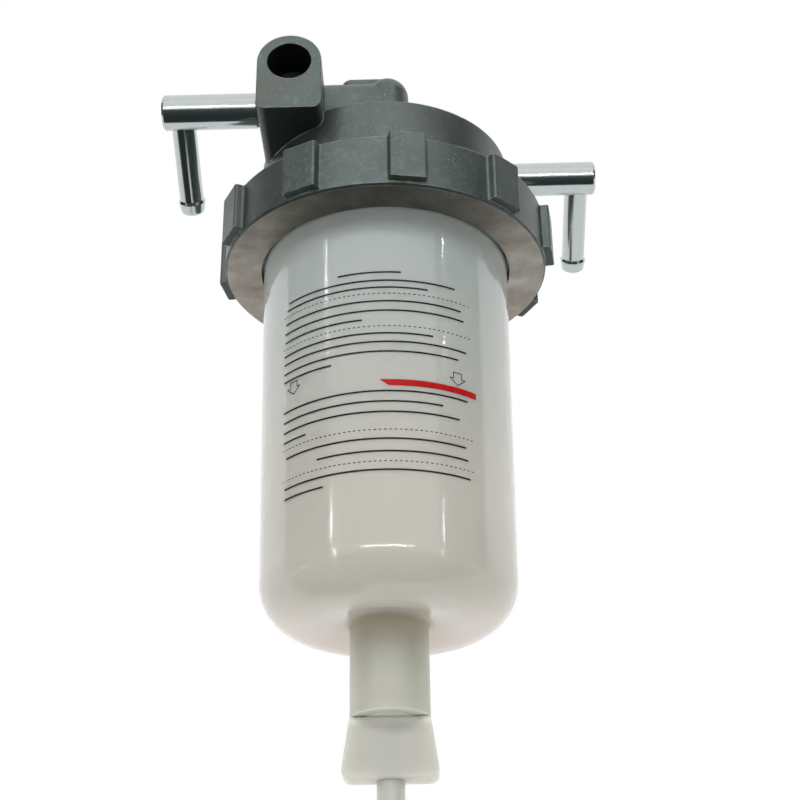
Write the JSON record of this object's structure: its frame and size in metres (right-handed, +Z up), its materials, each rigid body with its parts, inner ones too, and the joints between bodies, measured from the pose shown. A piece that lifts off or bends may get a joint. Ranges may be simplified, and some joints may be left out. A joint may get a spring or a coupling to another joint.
{
  "type": "fuel water separator",
  "caption": "Fuel and water separator: cast ported head with a mounting block, milky bowl held by a lugged ring nut, float, pleated element and winged drain plug.",
  "frame": {"origin": "centre of the mounting hole's mouth on the front of the head's block", "axes": "+Z up along the bowl's axis, -Y out of the mounting hole towards the viewer, +X from the inlet side to the outlet side"},
  "size_m": [0.1289, 0.0968, 0.2092],
  "materials": {
    "cast_alloy": "as-cast, matte with a fine sparkle",
    "bright_plate": "bright plated",
    "milky_plastic": "glossy, milky translucent",
    "black_rubber": "satin",
    "turned_alloy": "turned",
    "plated_steel": "zinc plated",
    "filter_paper": "matte pleated paper",
    "float_plastic": "satin",
    "plug_plastic": "satin, slightly translucent"
  },
  "bodies": {
    "head": {"head_casting": "cast_alloy", "inlet_bar": "bright_plate", "outlet_bar": "bright_plate", "inlet_hose_tail": "bright_plate", "outlet_hose_tail": "bright_plate", "centre_stem": "turned_alloy", "element_seal": "black_rubber", "element_top_cap": "plated_steel", "element_bottom_cap": "plated_steel", "element_core": "plated_steel", "element_media": "filter_paper", "element_spring": "plated_steel", "spring_washer": "plated_steel", "stem_nut": "plated_steel"},
    "bowl": {"bowl": "milky_plastic", "bowl_seal": "black_rubber"},
    "ring_nut": {"ring_nut": "cast_alloy"},
    "float": {"float_ring": "float_plastic"},
    "drain_seals": {"drain_nose_seal": "black_rubber", "drain_stem_seal": "black_rubber"},
    "drain_plug": {"drain_plug": "plug_plastic"}
  },
  "joints": [
    {"name": "bowl_drop", "type": "slide", "parent": "head", "child": "bowl", "axis": [0, 0, -1], "range_m": [0, 0.009]},
    {"name": "ring_nut_turn", "type": "hinge", "parent": "bowl", "child": "ring_nut", "pos_m": [0.0253, 0.0406, -0.039], "axis": [0, 0, -1], "range_deg": [0, 1080]},
    {"name": "float_rise", "type": "slide", "parent": "bowl", "child": "float", "axis": [0, 0, 1], "range_m": [0, 0.079]},
    {"name": "drain_drop", "type": "slide", "parent": "bowl", "child": "drain_seals", "axis": [0, 0, -1], "range_m": [0, 0.004]},
    {"name": "drain_turn", "type": "hinge", "parent": "drain_seals", "child": "drain_plug", "pos_m": [0.0253, 0.0406, -0.18], "axis": [0, 0, -1], "range_deg": [0, 720]}
  ],
  "couplings": [
    {"joint": "bowl_drop", "follows": "ring_nut_turn", "m_per_rad": 0.00047746},
    {"joint": "drain_drop", "follows": "drain_turn", "m_per_rad": 0.0003183}
  ]
}
